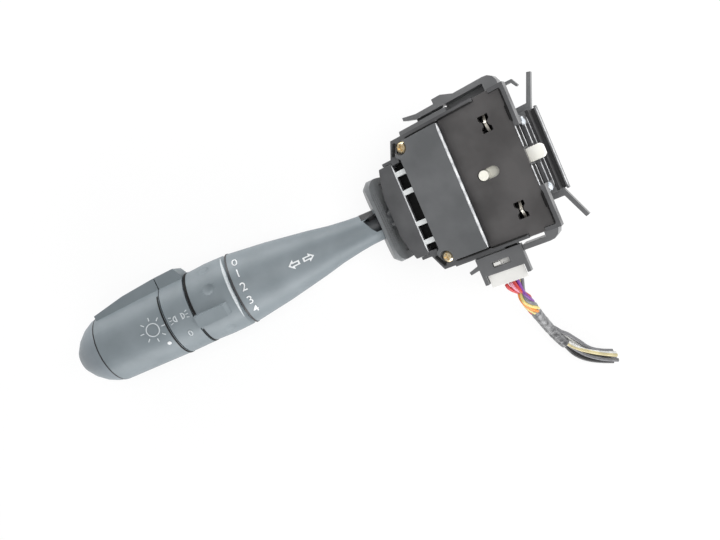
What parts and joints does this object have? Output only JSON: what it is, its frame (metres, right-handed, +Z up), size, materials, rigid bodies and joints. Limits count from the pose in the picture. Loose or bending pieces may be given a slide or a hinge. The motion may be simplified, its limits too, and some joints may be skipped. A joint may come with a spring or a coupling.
{
  "type": "combination stalk switch",
  "caption": "Vehicle column stalk switch: a lever with a rotary light knob and a levelling ring on a moulded latching housing with a cancelling pawl, plug and wire loom.",
  "frame": {"origin": "on the table, below the middle of the part without its cord", "axes": "+Z up; -X along the stalk towards its tip; the housing leans up towards +X; +Y away from the connector's side"},
  "size_m": [0.2133, 0.1365, 0.0544],
  "materials": {
    "stalk_plastic": "fine matt grain, bluish grey",
    "stalk_dark": "fine matt grain, darker grey",
    "shroud_plastic": "satin",
    "housing_plastic": "satin, moulded",
    "cover_plastic": "matt charcoal",
    "plate_plastic": "satin black-brown",
    "nylon_white": "waxy white",
    "comb_nylon": "waxy light grey",
    "carrier_nylon": "waxy white",
    "board_laminate": "brown laminate",
    "brass": "bright",
    "contact_copper": "dull",
    "steel": "turned",
    "spring_steel": "drawn wire",
    "plug_plastic": "satin, off-white",
    "loom_cover": "tape and insulated wires"
  },
  "bodies": {
    "housing": {"switch_housing": "housing_plastic", "screw_cover": "cover_plastic", "contact_plate": "plate_plastic", "cover_screws": "brass", "front_hood": "housing_plastic", "bearing_comb": "comb_nylon", "mounting_frame": "housing_plastic", "housing_base": "housing_plastic", "connector_socket": "plate_plastic", "connector_plug": "plug_plastic", "socket_pins": "contact_copper", "turn_pivot_pin": "steel", "detent_track": "carrier_nylon", "pawl_spring": "spring_steel", "contact_strips": "contact_copper", "contact_springs": "contact_copper", "wire_loom": "loom_cover"},
    "turn": {"turn_carrier": "carrier_nylon", "dip_pivot_pin": "steel", "dip_return_spring": "spring_steel", "detent_plunger": "steel", "detent_spring": "spring_steel"},
    "lever": {"stalk_body": "stalk_plastic", "lever_arm": "stalk_dark", "pivot_shroud": "shroud_plastic", "index_collar": "stalk_plastic", "light_contact_board": "board_laminate", "stalk_lead": "housing_plastic", "light_detent_pin": "steel", "light_detent_spring": "spring_steel", "ring_detent_pin": "steel", "ring_detent_spring": "spring_steel", "level_track": "contact_copper"},
    "light_control": {"light_knob": "stalk_plastic", "knob_end_cap": "stalk_dark", "light_shaft": "steel", "light_contact_rotor": "carrier_nylon", "shaft_clip": "spring_steel"},
    "level_control": {"levelling_ring": "stalk_plastic", "level_wiper": "contact_copper"},
    "pawl": {"cancel_pawl": "nylon_white"},
    "slider": {"contact_slider": "carrier_nylon", "slider_wipers": "contact_copper"}
  },
  "joints": [
    {"name": "turn_signal", "type": "hinge", "parent": "housing", "child": "turn", "pos_m": [0.06109, 0.00225, 0.02481], "axis": [-0.5299, 0, 0.848], "range_deg": [-8, 8]},
    {"name": "beam_lever", "type": "hinge", "parent": "turn", "child": "lever", "pos_m": [0.04668, 0.00225, 0.0158], "axis": [0, 1, 0], "range_deg": [-3.5, 4.5], "stiffness_Nm_per_rad": 20},
    {"name": "light_turn", "type": "hinge", "parent": "lever", "child": "light_control", "pos_m": [-0.07928, -0.00083, 0.0158], "axis": [-0.9997, -0.0244, 0], "range_deg": [0, 60]},
    {"name": "level_turn", "type": "hinge", "parent": "lever", "child": "level_control", "pos_m": [-0.0433, 0.00005, 0.0158], "axis": [-0.9997, -0.0244, 0], "range_deg": [-22.5, 67.5]},
    {"name": "pawl_slide", "type": "slide", "parent": "housing", "child": "pawl", "axis": [0.848, 0, 0.5299], "range_m": [0, 0.0036]},
    {"name": "slider_shift", "type": "slide", "parent": "housing", "child": "slider", "axis": [0, 1, 0], "range_m": [-0.0012, 0.0012]}
  ],
  "couplings": [
    {"joint": "slider_shift", "follows": "turn_signal", "m_per_rad": 0.008}
  ]
}
